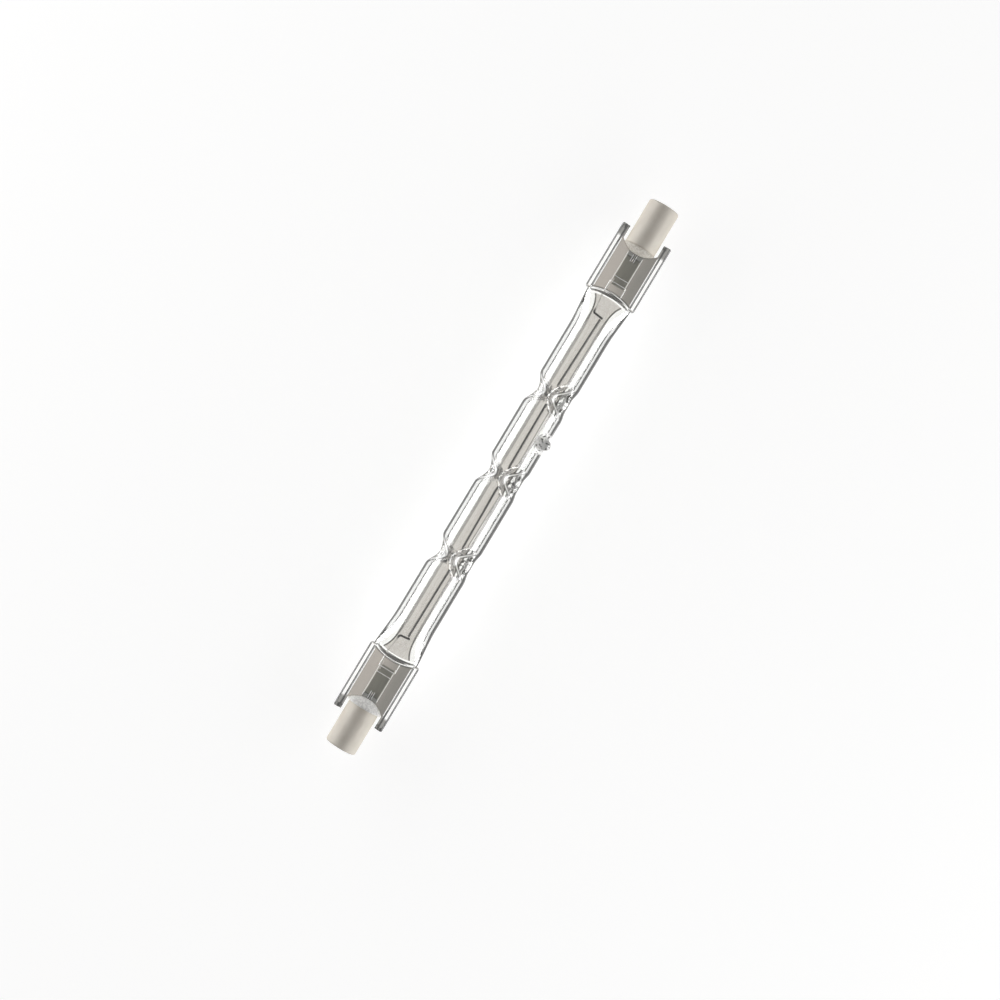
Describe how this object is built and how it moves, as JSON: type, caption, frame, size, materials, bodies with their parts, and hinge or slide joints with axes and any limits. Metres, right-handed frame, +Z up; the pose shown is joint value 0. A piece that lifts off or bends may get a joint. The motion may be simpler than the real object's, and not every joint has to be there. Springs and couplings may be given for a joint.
{
  "type": "double-ended halogen lamp",
  "caption": "Slim clear tube lamp with a coiled wire inside, pinched along its length, with flat pressed ends and a ceramic cap and recessed contact at each end.",
  "frame": {"origin": "under the middle of the lamp, on the surface that the tube lies on", "axes": "+X along the lamp, towards the end that is upper right in the picture; +Z up, square to the flat pressed ends; +Y across them"},
  "size_m": [0.1176, 0.0104, 0.0083],
  "materials": {
    "quartz": "polished",
    "tungsten": "satin",
    "lead_wire": "satin",
    "molybdenum_foil": "satin",
    "ceramic": "matte",
    "contact_metal": "satin",
    "cement": "matte"
  },
  "bodies": {
    "root": {"envelope": "quartz", "filament": "tungsten", "inner_lead_right": "lead_wire", "inner_lead_left": "lead_wire", "foil_right": "molybdenum_foil", "foil_left": "molybdenum_foil", "outer_lead_right": "lead_wire", "outer_lead_left": "lead_wire", "ceramic_cap_right": "ceramic", "ceramic_cap_left": "ceramic", "contact_right": "contact_metal", "contact_left": "contact_metal", "cement_right": "cement", "cement_left": "cement"}
  },
  "joints": []
}
